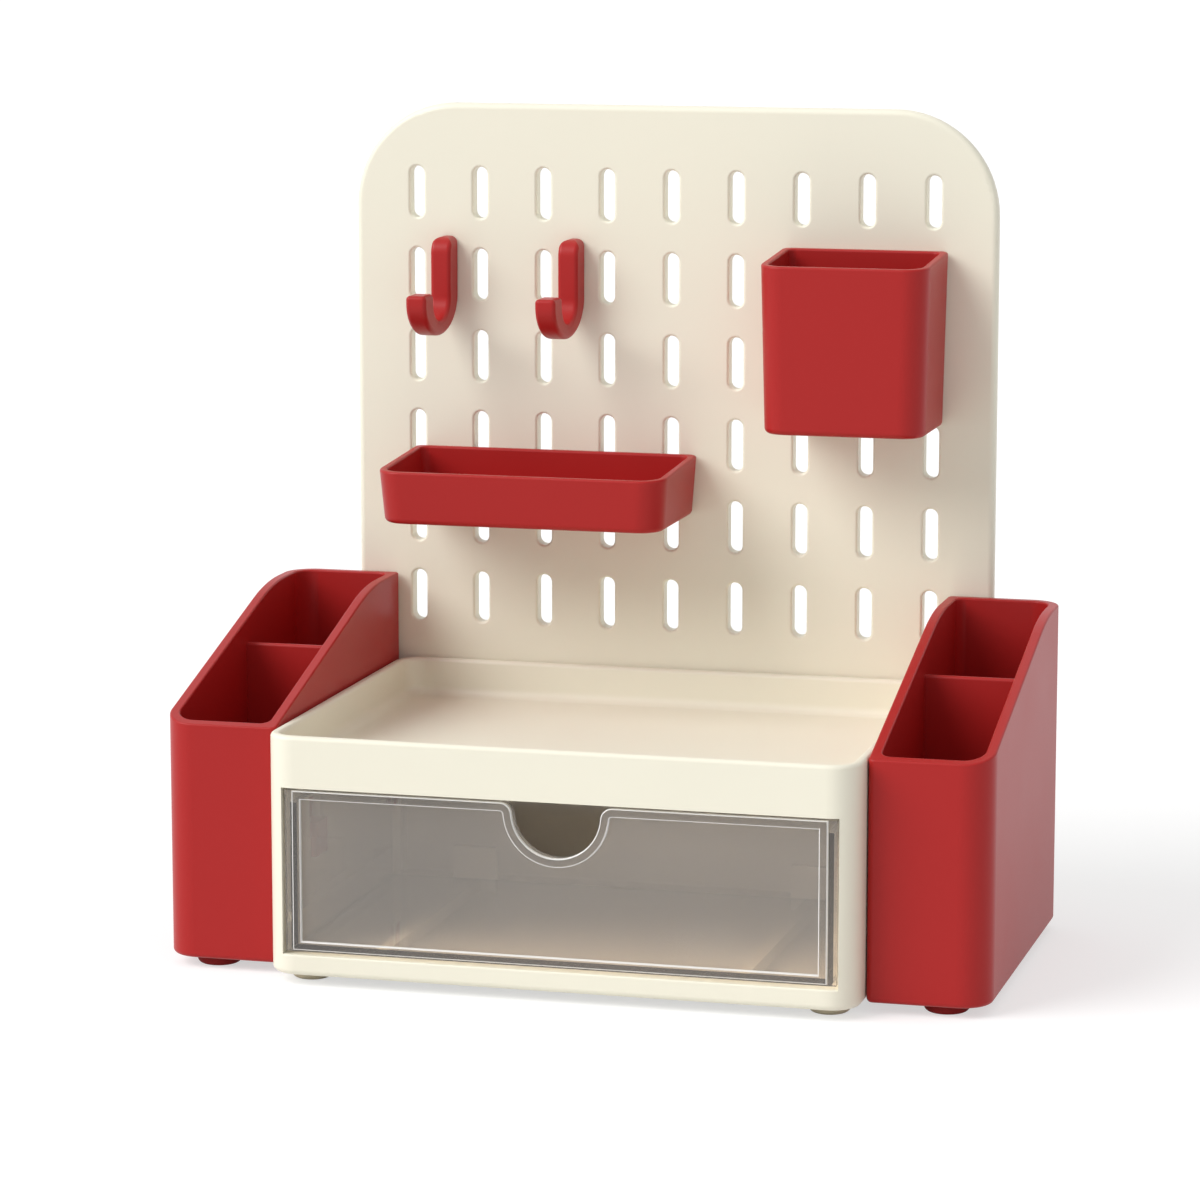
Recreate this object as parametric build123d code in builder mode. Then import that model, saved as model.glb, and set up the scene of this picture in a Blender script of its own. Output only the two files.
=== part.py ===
from build123d import *
import os

os.makedirs("parts", exist_ok=True)

# Desk organizer: a low case with one clear drawer and a tray on top, a slotted board that
# stands in the back of the case, a pen cup hooked to each side, and a small cup, a shelf and
# two hooks that hang from the board. Millimetres. The origin is on the desk under the middle
# of the whole organizer, +Z is up and the drawer faces -Y.

# ---- case
case_width = 180.0
case_depth = 152.0
case_height = 57.1            # underside to the seam below the tray
case_corner = 9.0             # upright corners, shared with the tray
case_edge = 1.9               # rounding of the lower edge
case_wall = 2.6
case_floor = 2.6
frame_side = 5.4              # post on each side of the drawer
frame_depth = 8.0             # front frame, front to back
sill_height = 6.4             # bar below the drawer
frame_edge = 0.5              # rounding around the drawer opening
overcut = 1.0                 # how far a cut runs past the face it opens

# ---- feet
foot_height = 3.2
case_foot_diameter = 12.6
case_foot_inset_x = 10.5      # foot centre to the side of the case
case_foot_inset_y = 13.5      # foot centre to the front or back of the case
cup_foot_diameter = 13.6
cup_foot_inset_x = 14.0       # foot centre to the outer side of the cup
cup_foot_inset_y = 10.5       # foot centre to the front or back of the cup
foot_edge = 1.8
foot_stem_diameter = 6.0
foot_stem_length = 1.4
foot_stem_gap = 0.1

# ---- tray
tray_height = 15.6
tray_wall = 3.2
tray_floor = 3.6
tray_dish_fillet = 3.0
tray_rim_edge = 1.3
lip_height = 3.0              # ribs that keep the tray in the case
lip_thickness = 1.6
lip_gap = 0.2

# ---- drawer
drawer_gap = 0.8              # around the front plate
drawer_setback = 0.5          # bead behind the case front
plate_thickness = 2.4
bead_width = 2.7
bead_height = 1.2             # in front of the plate
bead_margin_side = 2.5
bead_margin_bottom = 0.6
bead_edge = 0.45
notch_radius = 13.5
notch_depth = 16.0
notch_entry = 3.6
tub_gap = 2.0                 # side of the tub to the side of the opening
tub_wall = 2.2
tub_length = 98.5
tub_height = 45.3
tub_corner = 4.0
tub_edge = 1.2
runner_width = 4.0
runner_spacing = 110.0
runner_height = 4.1
runner_gap = 0.2
guide_height = 3.0
guide_lift = 12.0
guide_gap = 0.7
stop_thickness = 3.0
stop_height = 12.0
stop_width = 14.0
stop_gap = 0.3

# ---- slotted board
board_width = 208.2
board_height = 194.7          # above the seam
board_thickness = 5.0
board_corner = 33.0
board_foot_corner = 3.0
board_edge = 1.9
board_ledge = 9.0             # back of the board to the back of the case
board_gap = 0.3
tongue_width = 150.0
tongue_length = 40.0
socket_wall = 2.6
slot_width = 4.8
slot_height = 16.5
slot_edge = 0.8
slot_columns = 9
slot_rows = 6
slot_pitch_x = 20.97
slot_pitch_z = 26.1
top_row_drop = 28.4           # top of the board to the middle of the first row

# ---- hanging pegs, the same on every hung piece
hang_gap = 0.3                # hung piece to the board, and peg to slot
peg_width = 3.6
peg_neck = 3.7
peg_drop = 6.5
peg_tab = 1.8
peg_root = 1.2                # how far the neck reaches into the hung piece

# ---- pen cups
cup_gap = 0.3                 # cup to the side of the case
cup_width = 36.2
cup_board_gap = 1.0           # back of the cup to the board
cup_setback = 12.5            # case front to cup front
cup_front_height = 72.3       # above the underside
cup_back_height = 100.2
cup_slope_length = 96.0       # front to the level part of the rim
cup_slope_round = 85.0
cup_corner = 9.5
cup_side_corner = 1.8         # corners next to the case
cup_wall = 3.2
cup_floor = 2.8
cup_inner_corner = 3.0
cup_rim_edge = 0.6
cup_bottom_edge = 1.5
divider_thickness = 2.2
divider_back = 70.0           # cup front to the divider
divider_height = 85.0         # above the underside
divider_edge = 0.9
hook_width = 10.0             # hooks that hold a pen cup to the case
hook_window_play = 0.4
hook_neck = 4.0
hook_drop = 6.5
hook_tab = 1.8
hook_height = 35.8            # underside of the case to the underside of the hook neck
hook_spacing = 76.0
hook_lift = 7.6               # room to lift the cup off

# ---- small hanging cup
small_width = 52.8
small_depth = 38.0
small_height = 54.6           # at the board
small_top = 211.6
small_x = 62.6
small_draft = 1.2             # the bottom is this much smaller on each side
small_corner = 7.5
small_inner_corner = 5.0
small_wall = 2.4
small_edge = 1.8

# ---- shelf
shelf_width = 93.4
shelf_depth = 47.0
shelf_height = 19.2           # at the board
shelf_top = 145.2
shelf_x = -37.7
shelf_draft = 1.5
shelf_corner = 8.0
shelf_inner_corner = 5.6
shelf_wall = 2.4
shelf_edge = 1.8

hung_rim_rise = 2.7           # the rim is this much higher at the board than in front
hung_rim_edge = 0.7
hung_back_corner = 2.8

# ---- coat-hook style hooks
j_width = 6.6
j_height = 30.0
j_top = 212.8
j_reach = 36.0                # board to the front of the tip
j_stem = 9.3                  # stem and tip, front to back
j_floor = 4.8                 # thickness under the bend
j_bend = 11.5                 # height of the outer bend
j_tip = 14.0                  # bottom to the top of the tip
j_top_corner = 2.8            # upper corners seen from the front
j_top_round = 5.2             # upper front edge seen from the side
j_edge = 1.3
hook_slot_height = 12.0       # the slots behind the hook stems
hook_slot_drop = 7.0          # top of the hook to the middle of its slot

# ---- places that follow from the sizes
case_bottom = foot_height
seam_z = case_bottom + case_height
front_y = -case_depth / 2
back_y = case_depth / 2
side_x = case_width / 2
inner_front_y = front_y + frame_depth
board_back_y = back_y - board_ledge
board_front_y = board_back_y - board_thickness
tray_back_y = board_front_y - board_gap
tray_depth = tray_back_y - front_y
tray_mid_y = (tray_back_y + front_y) / 2
inner_back_y = tray_back_y - socket_wall
inner_side_x = side_x - case_wall
floor_z = case_bottom + case_floor
opening_x = side_x - frame_side
sill_z = case_bottom + sill_height
hang_y = board_front_y - hang_gap
board_top = seam_z + board_height
tub_side_x = opening_x - tub_gap
tub_bottom = floor_z + runner_height + runner_gap
plate_front_y = front_y + drawer_setback + bead_height
plate_back_y = plate_front_y + plate_thickness
tub_back_y = plate_back_y + tub_length
cup_inner_x = side_x + cup_gap
cup_outer_x = cup_inner_x + cup_width
cup_foot_x = cup_outer_x - cup_foot_inset_x
cup_front_y = front_y + cup_setback
cup_back_y = board_front_y - cup_board_gap
column_x = [(i - (slot_columns - 1) / 2) * slot_pitch_x for i in range(slot_columns)]
j_x = [(column_x[0] + column_x[1]) / 2, (column_x[2] + column_x[3]) / 2]
row_z = [board_top - top_row_drop - j * slot_pitch_z for j in range(slot_rows)]
hook_y = [(cup_front_y + cup_back_y + s * hook_spacing) / 2 for s in (-1, 1)]
hook_slot_z = j_top - hook_slot_drop
MID = (Align.CENTER, Align.CENTER, Align.MIN)


def block(x0, x1, y0, y1, z0, z1, mode=Mode.ADD):
    """Adds or cuts a box between two corners in the part being built."""
    with Locations(((x0 + x1) / 2, (y0 + y1) / 2, z0)):
        Box(x1 - x0, y1 - y0, z1 - z0, align=MID, mode=mode)


def finish(piece, name):
    """Labels a finished piece and writes it to its own file."""
    piece.part.label = name
    export_step(piece.part, f"parts/{name}.step")


# ---- case body: a shell open at the top and the front, with a socket for the board
with BuildPart() as case_body:
    with BuildSketch(Plane.XY.offset(case_bottom)):
        RectangleRounded(case_width, case_depth, case_corner)
    extrude(amount=case_height)
    fillet(case_body.edges().group_by(Axis.Z)[0], case_edge)
    block(-inner_side_x, inner_side_x, inner_front_y, inner_back_y, floor_z, seam_z, Mode.SUBTRACT)
    block(-opening_x, opening_x, front_y - overcut, inner_front_y, sill_z, seam_z, Mode.SUBTRACT)
    fillet(case_body.edges().filter_by(Axis.X).group_by(Axis.Y)[0].sort_by(Axis.Z)[-1], frame_edge)
    # socket for the board's tongue, and the hollow behind it, open below
    socket_x = tongue_width / 2 + board_gap
    socket_back_y = board_back_y + board_gap
    block(-socket_x, socket_x, tray_back_y, socket_back_y, floor_z, seam_z, Mode.SUBTRACT)
    block(-socket_x, socket_x, socket_back_y + socket_wall, back_y - case_wall,
          case_bottom, seam_z - case_wall, Mode.SUBTRACT)
    # runners, side guides and stops for the drawer
    for side in (-1, 1):
        rx = side * runner_spacing / 2
        block(rx - runner_width / 2, rx + runner_width / 2, inner_front_y, tub_back_y,
              floor_z, floor_z + runner_height)
        guide_x = tub_side_x + guide_gap
        gx = sorted((side * guide_x, side * inner_side_x))
        block(gx[0], gx[1], inner_front_y, tub_back_y,
              floor_z + guide_lift, floor_z + guide_lift + guide_height)
        stop_y = tub_back_y + stop_gap
        block(rx - stop_width / 2, rx + stop_width / 2, stop_y, stop_y + stop_thickness,
              floor_z, floor_z + runner_height + stop_height)
        # windows for the pen cup hooks
        for y in hook_y:
            half = hook_width / 2 + hook_window_play
            wx = sorted((side * (inner_side_x - overcut), side * (side_x + overcut)))
            block(wx[0], wx[1], y - half, y + half,
                  case_bottom + hook_height - hook_window_play,
                  case_bottom + hook_height + hook_neck + hook_lift + hook_window_play,
                  Mode.SUBTRACT)
        # sockets for the feet
        for end in (-1, 1):
            with Locations((side * (side_x - case_foot_inset_x),
                            end * (case_depth / 2 - case_foot_inset_y), case_bottom)):
                Cylinder(foot_stem_diameter / 2 + foot_stem_gap, foot_stem_length + foot_stem_gap,
                         align=MID, mode=Mode.SUBTRACT)
finish(case_body, "case_body")

# ---- tray that closes the case
with BuildPart() as tray_top:
    with BuildSketch(Plane.XY.offset(seam_z)):
        with Locations((0, tray_mid_y)):
            RectangleRounded(case_width, tray_depth, case_corner)
    extrude(amount=tray_height)
    with BuildSketch(Plane.XY.offset(seam_z + tray_floor)):
        with Locations((0, tray_mid_y)):
            RectangleRounded(case_width - 2 * tray_wall, tray_depth - 2 * tray_wall,
                             case_corner - tray_wall)
    extrude(amount=tray_height - tray_floor, mode=Mode.SUBTRACT)
    dish_edges = tray_top.edges().filter_by(
        lambda e: abs(e.center().Z - seam_z - tray_floor) < 0.01)
    fillet(dish_edges, tray_dish_fillet)
    fillet(tray_top.edges().group_by(Axis.Z)[-1], tray_rim_edge)
    lip_x = inner_side_x - lip_gap
    for side in (-1, 1):
        lx = sorted((side * lip_x, side * (lip_x - lip_thickness)))
        block(lx[0], lx[1], inner_front_y + lip_gap, inner_back_y - lip_gap,
              seam_z - lip_height, seam_z)
    block(-lip_x, lip_x, inner_back_y - lip_gap - lip_thickness, inner_back_y - lip_gap,
          seam_z - lip_height, seam_z)
finish(tray_top, "tray_top")

# ---- clear drawer: a tub with a plate and a raised bead in front
with BuildPart() as drawer:
    plate_x = opening_x - drawer_gap
    plate_bottom = sill_z + drawer_gap
    plate_top = seam_z - drawer_gap
    notch_z = plate_top - notch_depth + notch_radius
    with BuildSketch(Plane.XY.offset(tub_bottom)):
        with Locations((0, (plate_back_y + tub_back_y) / 2)):
            Rectangle(2 * tub_side_x, tub_length)
    extrude(amount=tub_height)
    fillet(drawer.edges().filter_by(Axis.Z).group_by(Axis.Y)[-1], tub_corner)
    fillet(drawer.edges().group_by(Axis.Z)[0].filter_by(
        lambda e: e.center().Y > plate_back_y + tub_edge), tub_edge)
    with BuildSketch(Plane.XY.offset(tub_bottom + tub_wall)) as tub_hollow:
        with Locations((0, (plate_back_y + tub_back_y - tub_wall) / 2)):
            Rectangle(2 * (tub_side_x - tub_wall), tub_length - tub_wall)
        fillet(tub_hollow.vertices().group_by(Axis.Y)[-1], tub_corner - tub_wall)
    extrude(amount=tub_height - tub_wall, mode=Mode.SUBTRACT)
    with BuildSketch(Plane.XZ.offset(-plate_back_y)) as plate:
        with Locations((0, (plate_bottom + plate_top) / 2)):
            Rectangle(2 * plate_x, plate_top - plate_bottom)
        with Locations((0, notch_z)):
            Circle(notch_radius, mode=Mode.SUBTRACT)
        fillet(plate.vertices().filter_by(
            lambda v: abs(v.Y - plate_top) < 0.01 and abs(v.X) < plate_x - 1), notch_entry)
    extrude(amount=plate_thickness)
    with BuildSketch(Plane.XZ.offset(-plate_front_y)) as bead:
        add(plate.sketch_local)
        with Locations((0, (plate_bottom + plate_top) / 2)):
            Rectangle(2 * (plate_x - bead_margin_side), plate_top - plate_bottom,
                      mode=Mode.INTERSECT)
        with Locations((0, plate_bottom)):
            Rectangle(2 * plate_x, bead_margin_bottom, align=(Align.CENTER, Align.MIN),
                      mode=Mode.SUBTRACT)
        offset(amount=-bead_width, mode=Mode.SUBTRACT)
    extrude(amount=bead_height)
    fillet(drawer.edges().group_by(Axis.Y)[0], bead_edge)
finish(drawer, "drawer")

# ---- slotted board
with BuildPart() as pegboard:
    with BuildSketch(Plane.XZ.offset(-board_back_y)) as outline:
        with Locations((0, (seam_z + board_top) / 2)):
            Rectangle(board_width, board_height)
        fillet(outline.vertices().group_by(Axis.Y)[-1], board_corner)
        fillet(outline.vertices().group_by(Axis.Y)[0], board_foot_corner)
        with Locations((0, seam_z)):
            Rectangle(tongue_width, tongue_length, align=(Align.CENTER, Align.MAX))
    extrude(amount=board_thickness)
    fillet(pegboard.edges().filter_by(lambda e: e.center().Z > seam_z + board_foot_corner + 1
           and abs(e.center().Y - (board_front_y + board_back_y) / 2) > 1), board_edge)
    with BuildSketch(Plane.XZ.offset(-board_back_y)):
        with Locations((0, (row_z[0] + row_z[-1]) / 2)):
            with GridLocations(slot_pitch_x, slot_pitch_z, slot_columns, slot_rows):
                SlotOverall(slot_height, slot_width, rotation=90)
        with Locations([(x, hook_slot_z) for x in j_x]):
            SlotOverall(hook_slot_height, slot_width, rotation=90)
    extrude(amount=board_thickness, mode=Mode.SUBTRACT)
    fillet(pegboard.edges().filter_by(lambda e: e.length < slot_height
           and abs(e.center().Y - board_front_y) < 0.01
           and e.center().Z > row_z[-1] - slot_height), slot_edge)
finish(pegboard, "pegboard")

# ---- pen cups: the right one, and the left one as its mirror image
with BuildPart() as pen_cup_right:
    rim_back_z = case_bottom + cup_back_height
    rim_front_z = case_bottom + cup_front_height
    slope_y = cup_front_y + cup_slope_length
    cup_middle = ((cup_inner_x + cup_outer_x) / 2, (cup_front_y + cup_back_y) / 2)
    cup_depth = cup_back_y - cup_front_y
    with BuildSketch(Plane.XY.offset(case_bottom)) as cup_plan:
        with Locations(cup_middle):
            Rectangle(cup_width, cup_depth)
        fillet(cup_plan.vertices().group_by(Axis.X)[-1], cup_corner)
        fillet(cup_plan.vertices().group_by(Axis.X)[0], cup_side_corner)
    extrude(amount=cup_back_height)
    fillet(pen_cup_right.edges().group_by(Axis.Z)[0], cup_bottom_edge)
    with BuildSketch(Plane.YZ.offset(cup_inner_x)) as side_view:
        with BuildLine():
            Polyline((cup_front_y, case_bottom), (cup_back_y, case_bottom),
                     (cup_back_y, rim_back_z), (slope_y, rim_back_z),
                     (cup_front_y, rim_front_z), close=True)
        make_face()
        fillet(side_view.vertices().filter_by(lambda v: abs(v.X - slope_y) < 0.01), cup_slope_round)
    extrude(amount=cup_width, mode=Mode.INTERSECT)
    with BuildSketch(Plane.XY.offset(case_bottom + cup_floor)) as well:
        with Locations(cup_middle):
            Rectangle(cup_width - 2 * cup_wall, cup_depth - 2 * cup_wall)
        fillet(well.vertices().group_by(Axis.X)[-1], cup_corner - cup_wall)
        fillet(well.vertices().group_by(Axis.X)[0], cup_inner_corner)
    extrude(amount=cup_back_height, mode=Mode.SUBTRACT)
    fillet(pen_cup_right.edges().filter_by(lambda e: e.center().Z > rim_front_z - cup_rim_edge),
           cup_rim_edge)
    # the divider between the front well and the back one, lower than the rim
    divider_y = cup_front_y + divider_back
    divider_z = case_bottom + divider_height
    block(cup_inner_x + cup_wall / 2, cup_outer_x - cup_wall / 2, divider_y - divider_thickness / 2,
          divider_y + divider_thickness / 2, case_bottom + cup_floor / 2, divider_z)
    fillet(pen_cup_right.edges().filter_by(Axis.X).filter_by(
        lambda e: abs(e.center().Z - divider_z) < 0.01), divider_edge)
    # hooks that reach through the windows of the case
    neck_z = case_bottom + hook_height
    tab_x = inner_side_x - hang_gap
    for y in hook_y:
        y0, y1 = y - hook_width / 2, y + hook_width / 2
        block(tab_x - hook_tab, cup_inner_x + cup_wall / 2, y0, y1, neck_z, neck_z + hook_neck)
        block(tab_x - hook_tab, tab_x, y0, y1, neck_z - hook_drop, neck_z + hook_neck)
    # sockets for the feet
    foot_y = [cup_front_y + cup_foot_inset_y, cup_back_y - cup_foot_inset_y]
    with Locations([(cup_foot_x, y, case_bottom) for y in foot_y]):
        Cylinder(foot_stem_diameter / 2 + foot_stem_gap, foot_stem_length + foot_stem_gap,
                 align=MID, mode=Mode.SUBTRACT)
finish(pen_cup_right, "pen_cup_right")

with BuildPart() as pen_cup_left:
    mirror(pen_cup_right.part, about=Plane.YZ)
finish(pen_cup_left, "pen_cup_left")


# ---- feet
def foot(x, y, diameter, name):
    """Makes one foot with the stem that seats it."""
    with BuildPart() as pad:
        with Locations((x, y, 0)):
            Cylinder(diameter / 2, foot_height, align=MID)
        fillet(pad.edges().group_by(Axis.Z)[0], foot_edge)
        with Locations((x, y, foot_height)):
            Cylinder(foot_stem_diameter / 2, foot_stem_length, align=MID)
    finish(pad, name)


for side, side_name in ((-1, "left"), (1, "right")):
    for end, end_name in ((-1, "front"), (1, "back")):
        foot(side * (side_x - case_foot_inset_x), end * (case_depth / 2 - case_foot_inset_y),
             case_foot_diameter, f"case_foot_{end_name}_{side_name}")
        foot(side * cup_foot_x, foot_y[(end + 1) // 2],
             cup_foot_diameter, f"cup_foot_{end_name}_{side_name}")


# ---- pieces that hang from the board
def peg(x, slot_bottom):
    """Adds a hanging peg: a neck through a slot of the board and a tab behind it."""
    bottom = slot_bottom + hang_gap
    with BuildSketch(Plane.XZ.offset(-board_back_y - hang_gap)) as neck:
        with Locations((x, bottom + peg_neck / 2)):
            SlotOverall(peg_neck, peg_width, rotation=90)
    extrude(neck.sketch, amount=board_thickness + 2 * hang_gap + peg_root)
    tab_y = board_back_y + hang_gap
    block(x - peg_width / 2, x + peg_width / 2, tab_y, tab_y + peg_tab,
          bottom - peg_drop, bottom + peg_neck)


def hung_section(x, z, width, depth, inset, corner, back_corner):
    """Draws a level section of a hung box, its back edge inset from the board side."""
    with BuildSketch(Plane.XY.offset(z)) as section:
        with Locations((x, hang_y - inset - depth / 2)):
            Rectangle(width, depth)
        fillet(section.vertices().group_by(Axis.Y)[0], corner)
        fillet(section.vertices().group_by(Axis.Y)[-1], back_corner)
    return section.sketch


def hung_box(name, x, top, width, depth, height, draft, wall, corner, inner_corner, edge, pegs):
    """Makes an open box with drafted walls and a rim that rises to the board, on its pegs."""
    low = top - height
    cut_y = hang_y - depth - overcut
    well_width, well_depth = width - 2 * wall, depth - 2 * wall
    with BuildPart() as box:
        loft([hung_section(x, low, width - 2 * draft, depth - draft, 0, corner, hung_back_corner),
              hung_section(x, top, width, depth, 0, corner, hung_back_corner)])
        fillet(box.edges().group_by(Axis.Z)[0], edge)
        loft([hung_section(x, low + wall, well_width - 2 * draft, well_depth - draft, wall,
                           inner_corner, inner_corner / 2),
              hung_section(x, top, well_width, well_depth, wall, inner_corner,
                           inner_corner / 2)], mode=Mode.SUBTRACT)
        with BuildSketch(Plane.YZ.offset(x)):
            with BuildLine():
                Polyline((hang_y, top), (cut_y, top - hung_rim_rise), (cut_y, top + overcut),
                         (hang_y, top + overcut), close=True)
            make_face()
        extrude(amount=width, both=True, mode=Mode.SUBTRACT)
        fillet(box.faces().sort_by(Axis.Z)[-1].edges(), hung_rim_edge)
        for peg_x, slot_bottom in pegs:
            peg(peg_x, slot_bottom)
    finish(box, name)


hung_box("small_cup", small_x, small_top, small_width, small_depth, small_height, small_draft,
         small_wall, small_corner, small_inner_corner, small_edge,
         [(column_x[i], row_z[1] - slot_height / 2) for i in (6, 8)])
hung_box("shelf", shelf_x, shelf_top, shelf_width, shelf_depth, shelf_height, shelf_draft,
         shelf_wall, shelf_corner, shelf_inner_corner, shelf_edge,
         [(column_x[i], row_z[3] - slot_height / 2) for i in (1, 3)])

# ---- hooks: a flat stem, an oval bend and a raised tip, all one width
for name, x in (("hook_left", j_x[0]), ("hook_right", j_x[1])):
    with BuildPart() as hook:
        j_bottom = j_top - j_height
        bend_z = j_bottom + j_bend
        stem_y = hang_y - j_stem
        with BuildSketch(Plane.YZ.offset(x - j_width / 2)) as side_shape:
            with Locations((hang_y - j_reach / 2, bend_z)):
                Ellipse(j_reach / 2, j_bend)
                Ellipse(j_reach / 2 - j_stem, j_bend - j_floor, mode=Mode.SUBTRACT)
                Rectangle(j_reach, j_bend, align=(Align.CENTER, Align.MIN), mode=Mode.SUBTRACT)
            with Locations((hang_y - j_stem / 2, bend_z)):
                Rectangle(j_stem, j_top - bend_z, align=(Align.CENTER, Align.MIN))
            with Locations((hang_y - j_reach + j_stem / 2, bend_z)):
                Rectangle(j_stem, j_tip - j_bend, align=(Align.CENTER, Align.MIN))
            fillet(side_shape.vertices().filter_by(lambda v: abs(v.Y - j_top) < 0.01
                   and abs(v.X - stem_y) < 0.01), j_top_round)
        extrude(amount=j_width)
        fillet(hook.edges().filter_by(lambda e: e.center().Y < hang_y - 0.01), j_edge)
        with BuildSketch(Plane.XZ.offset(-hang_y)) as front_shape:
            with Locations((x, (j_bottom + j_top) / 2)):
                Rectangle(j_width, j_height)
            fillet(front_shape.vertices().group_by(Axis.Y)[-1], j_top_corner)
        extrude(amount=j_reach, mode=Mode.INTERSECT)
        peg(x, hook_slot_z - hook_slot_height / 2)
    finish(hook, name)
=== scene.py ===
"""Desk organizer with a slotted board, dressed for its picture.

Metres, in the same frame as the solids: +Z up, the drawer faces -Y.
"""
import bpy
import math
from mathutils import Matrix, Vector

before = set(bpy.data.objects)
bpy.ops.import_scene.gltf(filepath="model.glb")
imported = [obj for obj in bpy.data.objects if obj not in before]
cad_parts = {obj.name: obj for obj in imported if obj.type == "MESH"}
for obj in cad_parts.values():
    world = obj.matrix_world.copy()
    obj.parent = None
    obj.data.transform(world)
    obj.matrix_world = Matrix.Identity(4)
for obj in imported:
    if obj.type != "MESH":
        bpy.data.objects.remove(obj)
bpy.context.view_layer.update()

# ---------------------------------------------------------------- where the pieces are
CREAM_SHELL = ["case_body", "tray_top", "pegboard"]
RED_PIECES = ["pen_cup_left", "pen_cup_right", "small_cup", "shelf", "hook_left", "hook_right"]
SIDES = ("left", "right")
ENDS = ("front", "back")
CASE_FEET = [f"case_foot_{end}_{side}" for side in SIDES for end in ENDS]
CUP_FEET = [f"cup_foot_{end}_{side}" for side in SIDES for end in ENDS]

# ---------------------------------------------------------------- camera
CAMERA_TURN = 15.0        # degrees from straight ahead, towards +X
CAMERA_RISE = 9.6         # degrees above the desk
CAMERA_DISTANCE = 1.375   # metres to the turning point
PIVOT = Vector((0.0, 0.0, 0.120))
AIM_SIDE = -0.0065        # the view slides this far across and up, metres
AIM_UP = -0.0118
CAMERA_LENS = 135.0
SENSOR_WIDTH = 36.0
NEAR_CLIP = 0.05
FAR_CLIP = 50.0


def place_camera():
    """Puts the camera on a sphere around the pivot, level and looking inwards, then slides it."""
    turn, rise = math.radians(CAMERA_TURN), math.radians(CAMERA_RISE)
    back = Vector((math.sin(turn) * math.cos(rise), -math.cos(turn) * math.cos(rise),
                   math.sin(rise)))
    right = Vector((math.cos(turn), math.sin(turn), 0.0))
    up = back.cross(right)
    eye = PIVOT + back * CAMERA_DISTANCE + right * AIM_SIDE + up * AIM_UP
    data = bpy.data.cameras.new("camera")
    data.lens = CAMERA_LENS
    data.sensor_width = SENSOR_WIDTH
    data.sensor_fit = 'HORIZONTAL'
    data.clip_start = NEAR_CLIP
    data.clip_end = FAR_CLIP
    data.dof.use_dof = False
    camera = bpy.data.objects.new("camera", data)
    turned = Matrix((right, up, back)).transposed().to_4x4()
    turned.translation = eye
    camera.matrix_world = turned
    bpy.context.scene.collection.objects.link(camera)
    bpy.context.scene.camera = camera


# ---------------------------------------------------------------- node helpers
def new_material(name):
    """Makes an empty node material and returns it with its tree."""
    material = bpy.data.materials.new(name)
    material.use_nodes = True
    material.node_tree.nodes.clear()
    return material, material.node_tree


def node(tree, kind, **settings):
    """Adds a node and sets its properties and its input values by name."""
    made = tree.nodes.new(kind)
    for key, value in settings.items():
        label = key.replace("_", " ").title()
        if hasattr(made, key):
            setattr(made, key, value)
        else:
            made.inputs[label].default_value = value
    return made


def group_socket(group, name, kind, is_input, value=None):
    """Adds a named socket to a node group."""
    direction = 'INPUT' if is_input else 'OUTPUT'
    socket = group.interface.new_socket(name, in_out=direction, socket_type=kind)
    if value is not None:
        socket.default_value = value
    return socket


# ---------------------------------------------------------------- finishes
CREAM = (0.88, 0.845, 0.705)
RED = (0.41, 0.016, 0.015)
CREAM_RUBBER = (0.72, 0.64, 0.48)
RED_RUBBER = (0.24, 0.012, 0.012)
PLASTIC_IOR = 1.5
PLASTIC_GRAIN = 0.00002   # depth of the grain, metres
RUBBER_GRAIN = 0.00004
GRAIN_SIZE = 2600.0       # waves to a metre
WAVE_SIZE = 22.0
WAVE_SHARE = 0.25         # of the long wave in the height

SMOKE_TINT = (0.96, 0.91, 0.86)
SMOKE_CLEAR = 0.92        # the rest is haze
SMOKE_IOR = 1.49
SMOKE_ROUGHNESS = 0.04
SMOKE_DRIFT = 0.03
SMOKE_RIPPLE = 60.0       # waves to a metre
RIPPLE_DEPTH = 0.00002
PLATE_FRONT = -0.0743     # the bead stands in front of this, metres
FACING_FORWARDS = -0.97   # a face whose normal has a lower Y than this faces forwards
# the pale tint and the white diffuse layer on the bead edges are a painted highlight
BEAD_PAINTED_HIGHLIGHT_TINT = (1.0, 0.99, 0.97)
BEAD_ROUGHNESS = 0.22
BEAD_PAINTED_HIGHLIGHT_SHARE = 0.75       # share of a white diffuse layer on the bead edges, a painted highlight
BEAD_PAINTED_HIGHLIGHT_COLOR = (0.93, 0.92, 0.90)
BEAD_COAT_IOR = 2.2
BEAD_COAT_ROUGHNESS = 0.15


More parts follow.
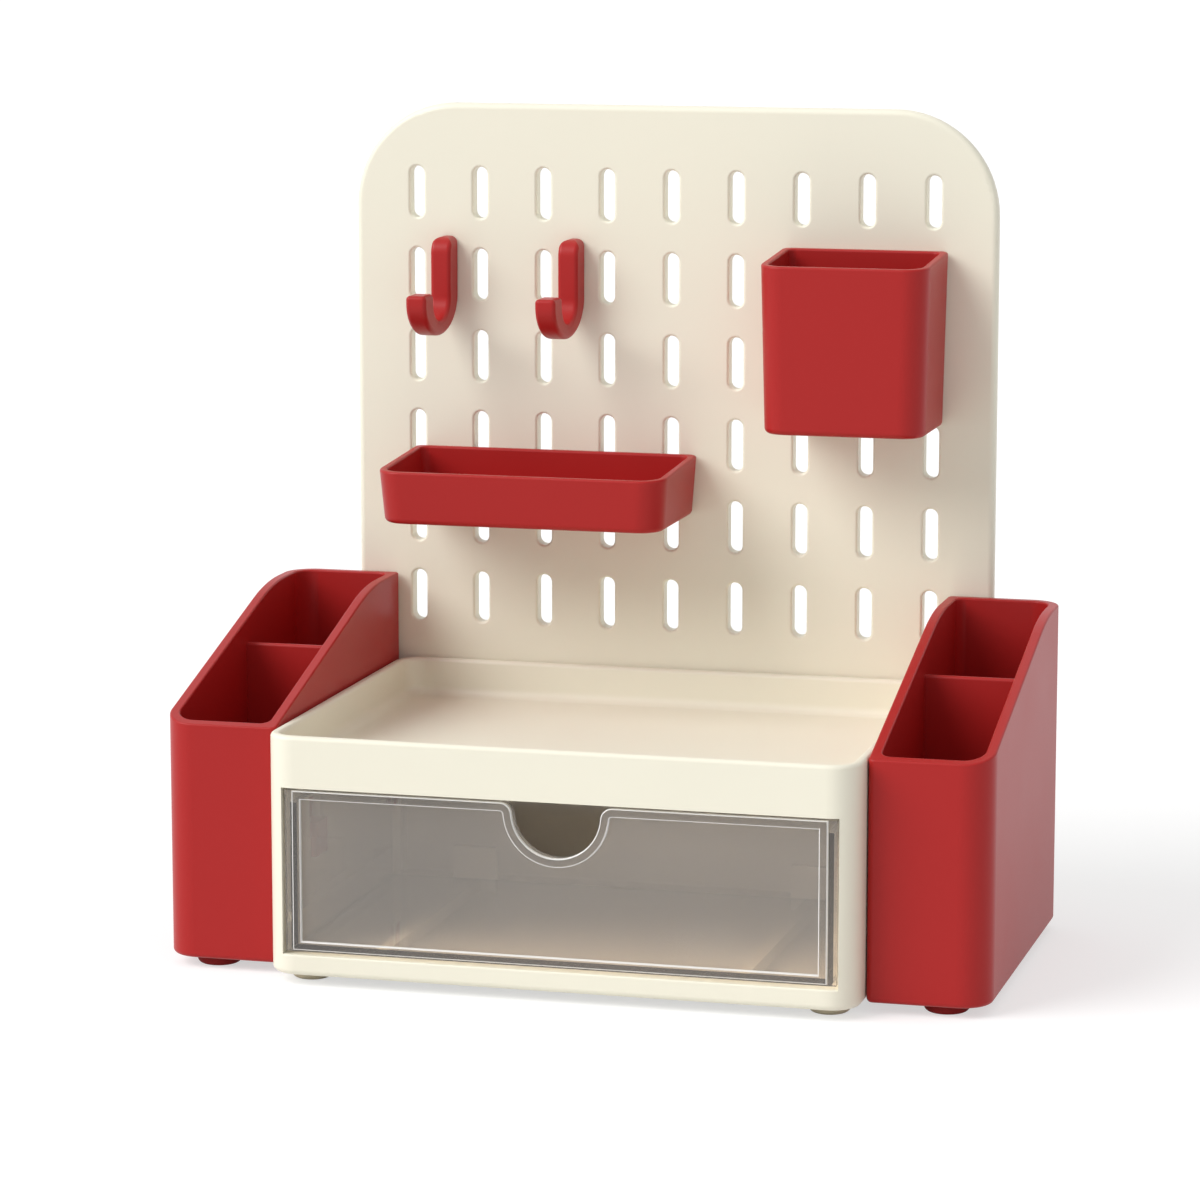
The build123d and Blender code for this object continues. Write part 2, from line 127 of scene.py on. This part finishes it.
def moulded_skin_group():
    """Fine spark-eroded grain and slow colour drift of a moulded face.

    Height is two bands of noise, a fine grain plus a share of a long wave. The colour is
    multiplied by one plus the drift times the long wave, which is centred on nought. Roughness
    rises and falls with the same wave.
    """
    group = bpy.data.node_groups.new("moulded skin", 'ShaderNodeTree')
    group_socket(group, "Color", 'NodeSocketColor', True, (0.8, 0.8, 0.8, 1.0))
    group_socket(group, "Grain Size", 'NodeSocketFloat', True, GRAIN_SIZE)
    group_socket(group, "Wave Size", 'NodeSocketFloat', True, WAVE_SIZE)
    group_socket(group, "Drift", 'NodeSocketFloat', True, 0.03)
    group_socket(group, "Roughness", 'NodeSocketFloat', True, 0.45)
    group_socket(group, "Roughness Drift", 'NodeSocketFloat', True, 0.08)
    group_socket(group, "Color", 'NodeSocketColor', False)
    group_socket(group, "Roughness", 'NodeSocketFloat', False)
    group_socket(group, "Height", 'NodeSocketFloat', False)
    links = group.links
    enter = group.nodes.new('NodeGroupInput')
    leave = group.nodes.new('NodeGroupOutput')
    place = group.nodes.new('ShaderNodeTexCoord')
    grain = node(group, 'ShaderNodeTexNoise', detail=2.0, roughness=0.6)
    wave = node(group, 'ShaderNodeTexNoise', detail=3.0, roughness=0.5)
    links.new(place.outputs["Object"], grain.inputs["Vector"])
    links.new(place.outputs["Object"], wave.inputs["Vector"])
    links.new(enter.outputs["Grain Size"], grain.inputs["Scale"])
    links.new(enter.outputs["Wave Size"], wave.inputs["Scale"])
    centred = node(group, 'ShaderNodeMath', operation='SUBTRACT')
    centred.inputs[1].default_value = 0.5
    links.new(wave.outputs["Fac"], centred.inputs[0])
    shade = node(group, 'ShaderNodeMath', operation='MULTIPLY_ADD')
    shade.inputs[2].default_value = 1.0
    links.new(centred.outputs[0], shade.inputs[0])
    links.new(enter.outputs["Drift"], shade.inputs[1])
    colour = node(group, 'ShaderNodeVectorMath', operation='SCALE')
    links.new(enter.outputs["Color"], colour.inputs[0])
    links.new(shade.outputs[0], colour.inputs["Scale"])
    links.new(colour.outputs[0], leave.inputs["Color"])
    rough = node(group, 'ShaderNodeMath', operation='MULTIPLY_ADD')
    links.new(centred.outputs[0], rough.inputs[0])
    links.new(enter.outputs["Roughness Drift"], rough.inputs[1])
    links.new(enter.outputs["Roughness"], rough.inputs[2])
    links.new(rough.outputs[0], leave.inputs["Roughness"])
    height = node(group, 'ShaderNodeMath', operation='MULTIPLY_ADD')
    height.inputs[1].default_value = WAVE_SHARE
    links.new(wave.outputs["Fac"], height.inputs[0])
    links.new(grain.outputs["Fac"], height.inputs[2])
    links.new(height.outputs[0], leave.inputs["Height"])
    return group


def moulded_finish(name, skin, color, roughness, drift, grain_depth, specular):
    """A satin moulded plastic or rubber: one colour that drifts a little, under a fine grain."""
    material, tree = new_material(name)
    links = tree.links
    out = tree.nodes.new('ShaderNodeOutputMaterial')
    shader = tree.nodes.new('ShaderNodeBsdfPrincipled')
    face = tree.nodes.new('ShaderNodeGroup')
    face.node_tree = skin
    face.inputs["Color"].default_value = (*color, 1.0)
    face.inputs["Drift"].default_value = drift
    face.inputs["Roughness"].default_value = roughness
    bump = tree.nodes.new('ShaderNodeBump')
    bump.inputs["Distance"].default_value = grain_depth
    shader.inputs["Specular IOR Level"].default_value = specular
    shader.inputs["IOR"].default_value = PLASTIC_IOR
    links.new(face.outputs["Color"], shader.inputs["Base Color"])
    links.new(face.outputs["Roughness"], shader.inputs["Roughness"])
    links.new(face.outputs["Height"], bump.inputs["Height"])
    links.new(bump.outputs["Normal"], shader.inputs["Normal"])
    links.new(shader.outputs[0], out.inputs["Surface"])
    return material


def bead_edge_mask(tree):
    """Is one on the edges of the drawer's bead: in front of the plate, not facing forwards."""
    place = tree.nodes.new('ShaderNodeTexCoord')
    where = tree.nodes.new('ShaderNodeSeparateXYZ')
    turned = tree.nodes.new('ShaderNodeSeparateXYZ')
    front = node(tree, 'ShaderNodeMath', operation='LESS_THAN')
    front.inputs[1].default_value = PLATE_FRONT
    aside = node(tree, 'ShaderNodeMath', operation='GREATER_THAN')
    aside.inputs[1].default_value = FACING_FORWARDS
    edge = node(tree, 'ShaderNodeMath', operation='MULTIPLY')
    tree.links.new(place.outputs["Object"], where.inputs[0])
    tree.links.new(place.outputs["Normal"], turned.inputs[0])
    tree.links.new(where.outputs["Y"], front.inputs[0])
    tree.links.new(turned.outputs["Y"], aside.inputs[0])
    tree.links.new(front.outputs[0], edge.inputs[0])
    tree.links.new(aside.outputs[0], edge.inputs[1])
    return edge.outputs[0]


def smoke_plastic(skin):
    """Clear plastic with a grey-brown tint, polished, with faint flow ripples.

    What is seen through it is bent and tinted. Lamp light passes straight through it with the
    same tint, so that the inside of the case is lit. The rounded edges of the raised bead are
    less polished, and painted paler with a white diffuse layer mixed in, as a painted highlight.
    """
    material, tree = new_material("smoke plastic")
    links = tree.links
    out = tree.nodes.new('ShaderNodeOutputMaterial')
    rays = tree.nodes.new('ShaderNodeLightPath')
    edge = bead_edge_mask(tree)

    face = tree.nodes.new('ShaderNodeGroup')
    face.node_tree = skin
    face.inputs["Color"].default_value = (*SMOKE_TINT, 1.0)
    face.inputs["Drift"].default_value = SMOKE_DRIFT
    face.inputs["Roughness"].default_value = SMOKE_ROUGHNESS
    face.inputs["Roughness Drift"].default_value = SMOKE_DRIFT
    face.inputs["Grain Size"].default_value = SMOKE_RIPPLE
    # the bead edges get a paler base colour: a painted highlight
    painted_highlight_color = node(tree, 'ShaderNodeMix', data_type='RGBA')
    painted_highlight_color.inputs["B"].default_value = (*BEAD_PAINTED_HIGHLIGHT_TINT, 1.0)
    rougher = tree.nodes.new('ShaderNodeMix')
    rougher.inputs["B"].default_value = BEAD_ROUGHNESS
    bump = tree.nodes.new('ShaderNodeBump')
    bump.inputs["Distance"].default_value = RIPPLE_DEPTH
    links.new(edge, painted_highlight_color.inputs["Factor"])
    links.new(edge, rougher.inputs["Factor"])
    links.new(face.outputs["Color"], painted_highlight_color.inputs["A"])
    links.new(face.outputs["Roughness"], rougher.inputs["A"])
    links.new(face.outputs["Height"], bump.inputs["Height"])

    shader = tree.nodes.new('ShaderNodeBsdfPrincipled')
    shader.inputs["Transmission Weight"].default_value = SMOKE_CLEAR
    shader.inputs["IOR"].default_value = SMOKE_IOR
    shader.inputs["Coat IOR"].default_value = BEAD_COAT_IOR
    shader.inputs["Coat Roughness"].default_value = BEAD_COAT_ROUGHNESS
    links.new(painted_highlight_color.outputs["Result"], shader.inputs["Base Color"])
    links.new(rougher.outputs["Result"], shader.inputs["Roughness"])
    links.new(edge, shader.inputs["Coat Weight"])
    links.new(bump.outputs["Normal"], shader.inputs["Normal"])

    # a white diffuse layer mixed onto the bead edges: a painted highlight
    painted_highlight_layer = tree.nodes.new('ShaderNodeBsdfDiffuse')
    painted_highlight_layer.inputs["Color"].default_value = (*BEAD_PAINTED_HIGHLIGHT_COLOR, 1.0)
    painted_highlight_share = node(tree, 'ShaderNodeMath', operation='MULTIPLY')
    painted_highlight_share.inputs[1].default_value = BEAD_PAINTED_HIGHLIGHT_SHARE
    plastic = tree.nodes.new('ShaderNodeMixShader')
    links.new(edge, painted_highlight_share.inputs[0])
    links.new(painted_highlight_share.outputs[0], plastic.inputs[0])
    links.new(shader.outputs[0], plastic.inputs[1])
    links.new(painted_highlight_layer.outputs[0], plastic.inputs[2])

    passing = tree.nodes.new('ShaderNodeBsdfTransparent')
    passing.inputs["Color"].default_value = (*SMOKE_TINT, 1.0)
    either = tree.nodes.new('ShaderNodeMixShader')
    links.new(rays.outputs["Is Shadow Ray"], either.inputs[0])
    links.new(plastic.outputs[0], either.inputs[1])
    links.new(passing.outputs[0], either.inputs[2])
    links.new(either.outputs[0], out.inputs["Surface"])
    return material


def dress(names, material):
    """Gives a material to every slot of the solids named."""
    for name in names:
        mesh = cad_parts[name].data
        mesh.materials.clear()
        mesh.materials.append(material)


# ---------------------------------------------------------------- floor and light
FLOOR_HALF = 40.0         # metres
FLOOR_COLOR = 0.82
FLOOR_SEEN_COLOR = 0.50   # where it is seen directly, so that the shadow stays light
FLOOR_LIFT = 0.58         # added where it is seen directly, so that it is white
SKY_LOW = 0.45
SKY_TOP = 0.62
SKY_SEEN = 1.0
KEY_LIGHT = 2.3
KEY_ANGLE = 42.0          # degrees across
KEY_TOWARDS = (0.62, 0.48, -0.62)


def seen_directly(tree):
    """Is one for rays that show a thing itself: camera, mirror-like and see-through rays."""
    rays = tree.nodes.new('ShaderNodeLightPath')
    first = node(tree, 'ShaderNodeMath', operation='MAXIMUM')
    both = node(tree, 'ShaderNodeMath', operation='MAXIMUM')
    tree.links.new(rays.outputs["Is Camera Ray"], first.inputs[0])
    tree.links.new(rays.outputs["Is Glossy Ray"], first.inputs[1])
    tree.links.new(first.outputs[0], both.inputs[0])
    tree.links.new(rays.outputs["Is Transmission Ray"], both.inputs[1])
    return both.outputs[0]


def pale_floor():
    """A wide level floor, white to the camera and with the object's own soft shadow."""
    data = bpy.data.meshes.new("floor")
    half = FLOOR_HALF
    corners = [(-half, -half, 0), (half, -half, 0), (half, half, 0), (-half, half, 0)]
    data.from_pydata(corners, [], [(0, 1, 2, 3)])
    floor = bpy.data.objects.new("floor", data)
    bpy.context.scene.collection.objects.link(floor)
    material, tree = new_material("white floor")
    links = tree.links
    out = tree.nodes.new('ShaderNodeOutputMaterial')
    matt = tree.nodes.new('ShaderNodeBsdfDiffuse')
    shade = tree.nodes.new('ShaderNodeMix')
    shade.inputs["A"].default_value = FLOOR_COLOR
    shade.inputs["B"].default_value = FLOOR_SEEN_COLOR
    glow = tree.nodes.new('ShaderNodeEmission')
    lift = node(tree, 'ShaderNodeMath', operation='MULTIPLY')
    lift.inputs[1].default_value = FLOOR_LIFT
    both = tree.nodes.new('ShaderNodeAddShader')
    seen = seen_directly(tree)
    links.new(seen, shade.inputs["Factor"])
    links.new(shade.outputs["Result"], matt.inputs["Color"])
    links.new(seen, lift.inputs[0])
    links.new(lift.outputs[0], glow.inputs["Strength"])
    links.new(matt.outputs[0], both.inputs[0])
    links.new(glow.outputs[0], both.inputs[1])
    links.new(both.outputs[0], out.inputs["Surface"])
    data.materials.append(material)


def soft_light():
    """A sky brighter overhead, white where it is seen, and a wide lamp from the upper left."""
    world = bpy.data.worlds.new("sky")
    bpy.context.scene.world = world
    world.use_nodes = True
    tree = world.node_tree
    tree.nodes.clear()
    out = tree.nodes.new('ShaderNodeOutputWorld')
    sky = tree.nodes.new('ShaderNodeBackground')
    sky.inputs["Color"].default_value = (1.0, 1.0, 1.0, 1.0)
    place = tree.nodes.new('ShaderNodeTexCoord')
    split = tree.nodes.new('ShaderNodeSeparateXYZ')
    rise = node(tree, 'ShaderNodeMapRange')
    rise.inputs["To Min"].default_value = SKY_LOW
    rise.inputs["To Max"].default_value = SKY_TOP
    level = tree.nodes.new('ShaderNodeMix')
    level.inputs["B"].default_value = SKY_SEEN
    tree.links.new(place.outputs["Generated"], split.inputs[0])
    tree.links.new(split.outputs["Z"], rise.inputs["Value"])
    tree.links.new(seen_directly(tree), level.inputs["Factor"])
    tree.links.new(rise.outputs["Result"], level.inputs["A"])
    tree.links.new(level.outputs["Result"], sky.inputs["Strength"])
    tree.links.new(sky.outputs[0], out.inputs["Surface"])
    lamp = bpy.data.lights.new("key", 'SUN')
    lamp.energy = KEY_LIGHT
    lamp.angle = math.radians(KEY_ANGLE)
    key = bpy.data.objects.new("key", lamp)
    key.rotation_euler = Vector(KEY_TOWARDS).to_track_quat('-Z', 'Y').to_euler()
    bpy.context.scene.collection.objects.link(key)


place_camera()
pale_floor()
soft_light()
bpy.context.scene.view_settings.view_transform = 'Standard'

skin = moulded_skin_group()
dress(CREAM_SHELL, moulded_finish("cream plastic", skin, CREAM, 0.38, 0.02, PLASTIC_GRAIN, 0.4))
dress(RED_PIECES, moulded_finish("red plastic", skin, RED, 0.38, 0.05, PLASTIC_GRAIN, 0.25))
dress(CASE_FEET,
      moulded_finish("cream rubber", skin, CREAM_RUBBER, 0.7, 0.05, RUBBER_GRAIN, 0.2))
dress(CUP_FEET, moulded_finish("red rubber", skin, RED_RUBBER, 0.7, 0.05, RUBBER_GRAIN, 0.2))
dress(["drawer"], smoke_plastic(skin))
